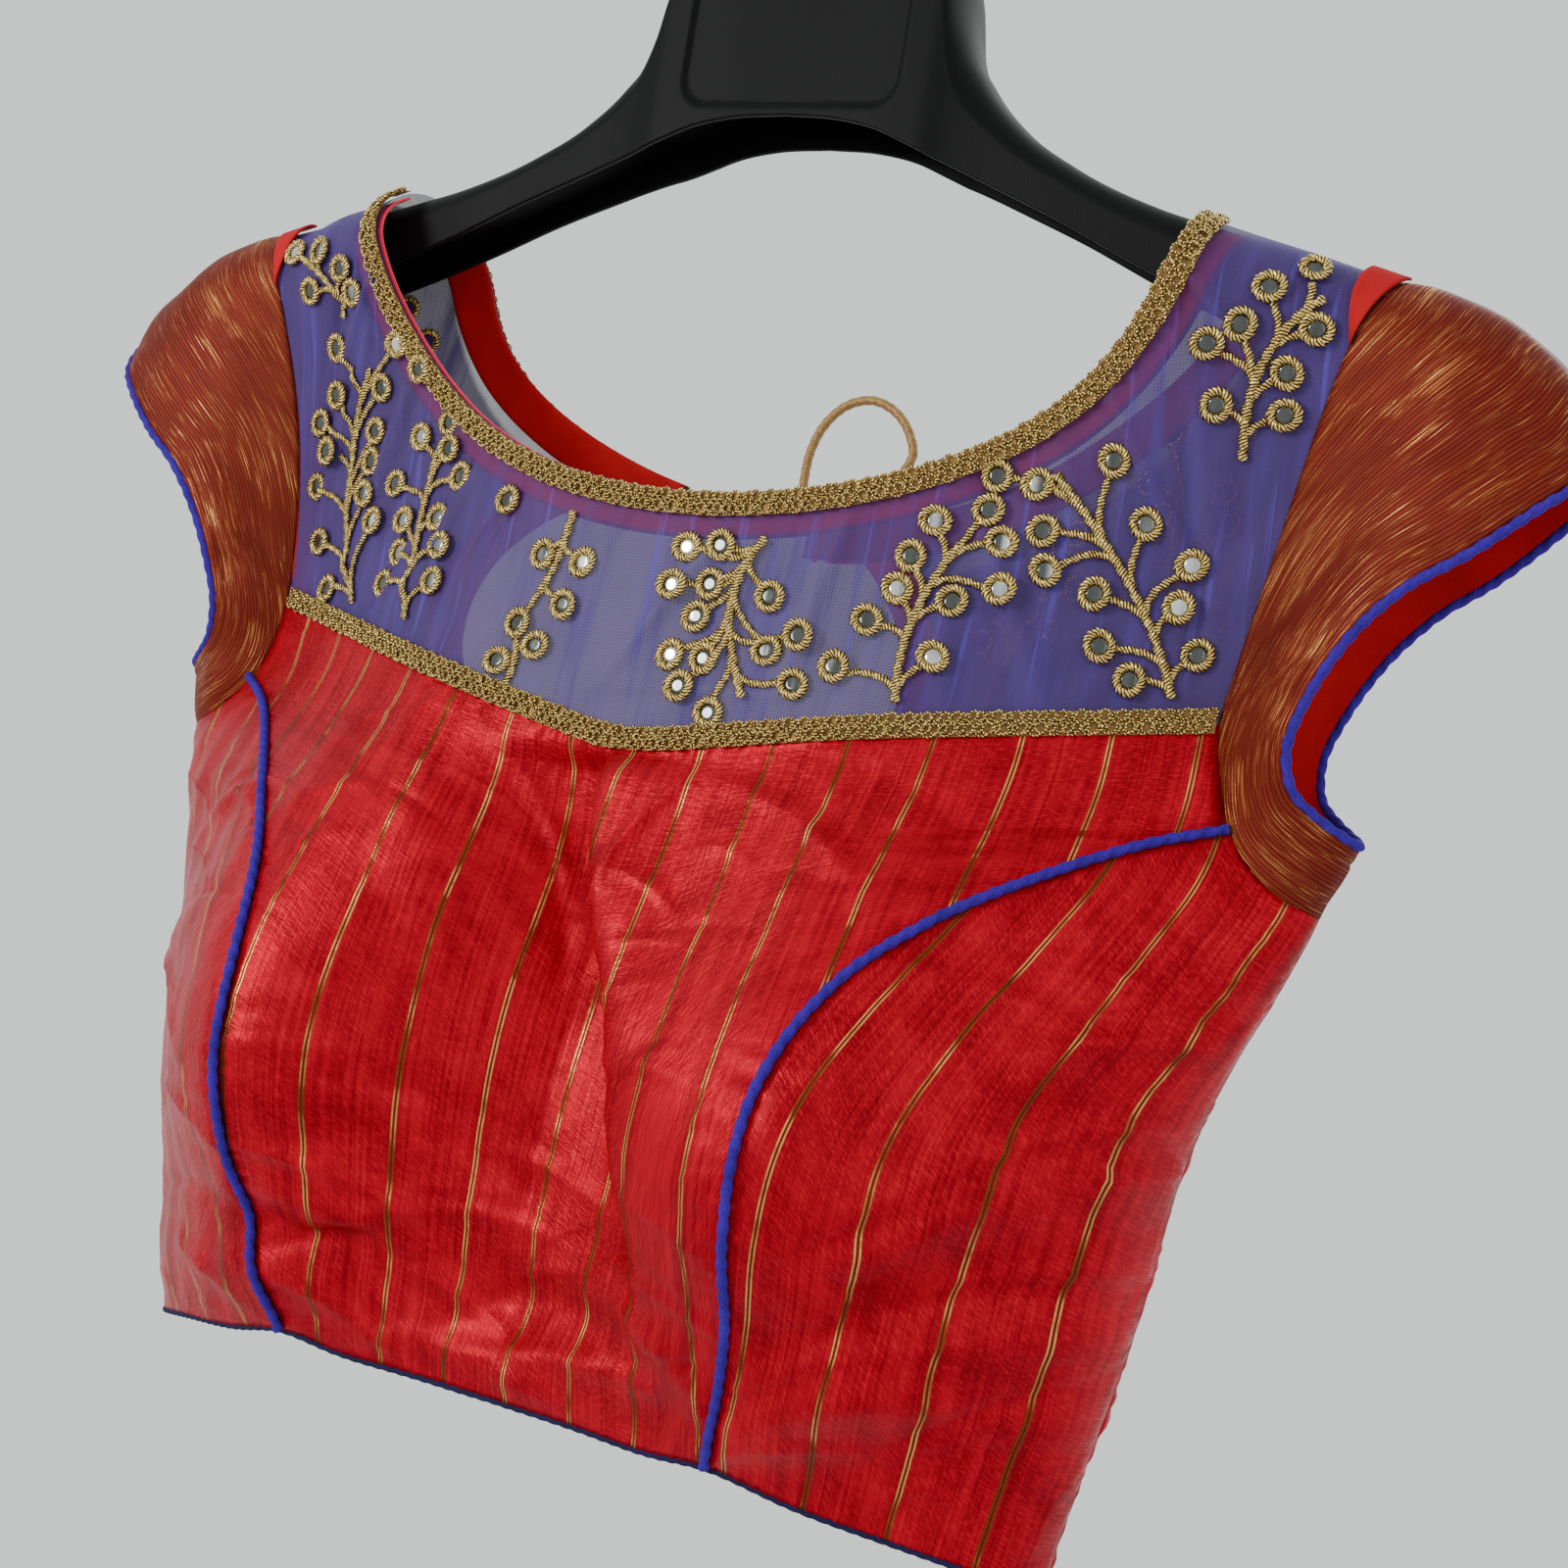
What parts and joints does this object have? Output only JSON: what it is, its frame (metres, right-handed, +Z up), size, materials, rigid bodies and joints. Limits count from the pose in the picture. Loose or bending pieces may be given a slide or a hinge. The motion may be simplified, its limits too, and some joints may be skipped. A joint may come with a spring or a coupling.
{
  "type": "choli blouse on a hanger",
  "caption": "Cropped blouse with cupped striped silk front, sheer embroidered net yoke, cap sleeves, gold trim and blue piping, hanging on a black moulded hanger.",
  "frame": {"origin": "the highest point inside the hanger's hook, where a rail carries it", "axes": "+Z up, -Y towards the front of the blouse, +X towards the wearer's left"},
  "size_m": [0.495, 0.1594, 0.5296],
  "materials": {
    "silk": "raw silk weave with a soft sheen and fine gold stripes",
    "net": "sheer fine net with gold thread and small mirrors",
    "zari_tissue": "dark red tissue with fine copper metallic lines",
    "red_lining": "plain matte cotton",
    "gold_trim": "metallic gold braid of small loops",
    "blue_piping": "twisted matte cord",
    "navy_piping": "narrow matte cord",
    "dori_cord": "cord wrapped in dull gold thread",
    "hanger_plastic": "moulded, lightly textured, satin",
    "hook_steel": "plated steel wire"
  },
  "bodies": {
    "root": {"front_centre": "silk", "front_side_l": "silk", "front_side_r": "silk", "back_l": "silk", "back_r": "silk", "yoke_front": "net", "yoke_back_l": "net", "yoke_back_r": "net", "sleeve_l": "zari_tissue", "sleeve_r": "zari_tissue", "sleeve_lining_l": "red_lining", "sleeve_lining_r": "red_lining", "armhole_strip_l": "red_lining", "armhole_strip_r": "red_lining", "neck_facing_front": "red_lining", "neck_facing_back_l": "red_lining", "neck_facing_back_r": "red_lining", "keyhole_facing_l": "red_lining", "keyhole_facing_r": "red_lining", "keyhole_facing_low_l": "red_lining", "keyhole_facing_low_r": "red_lining", "neck_trim_front": "gold_trim", "neck_trim_back_l": "gold_trim", "neck_trim_back_r": "gold_trim", "yoke_trim_front": "gold_trim", "princess_piping_l": "blue_piping", "princess_piping_r": "blue_piping", "sleeve_piping_l": "blue_piping", "sleeve_piping_r": "blue_piping", "hem_piping_front": "navy_piping", "hem_piping_back_l": "navy_piping", "hem_piping_back_r": "navy_piping", "dori_loop": "dori_cord", "hanger_body": "hanger_plastic", "hanger_hook": "hook_steel"}
  },
  "joints": []
}
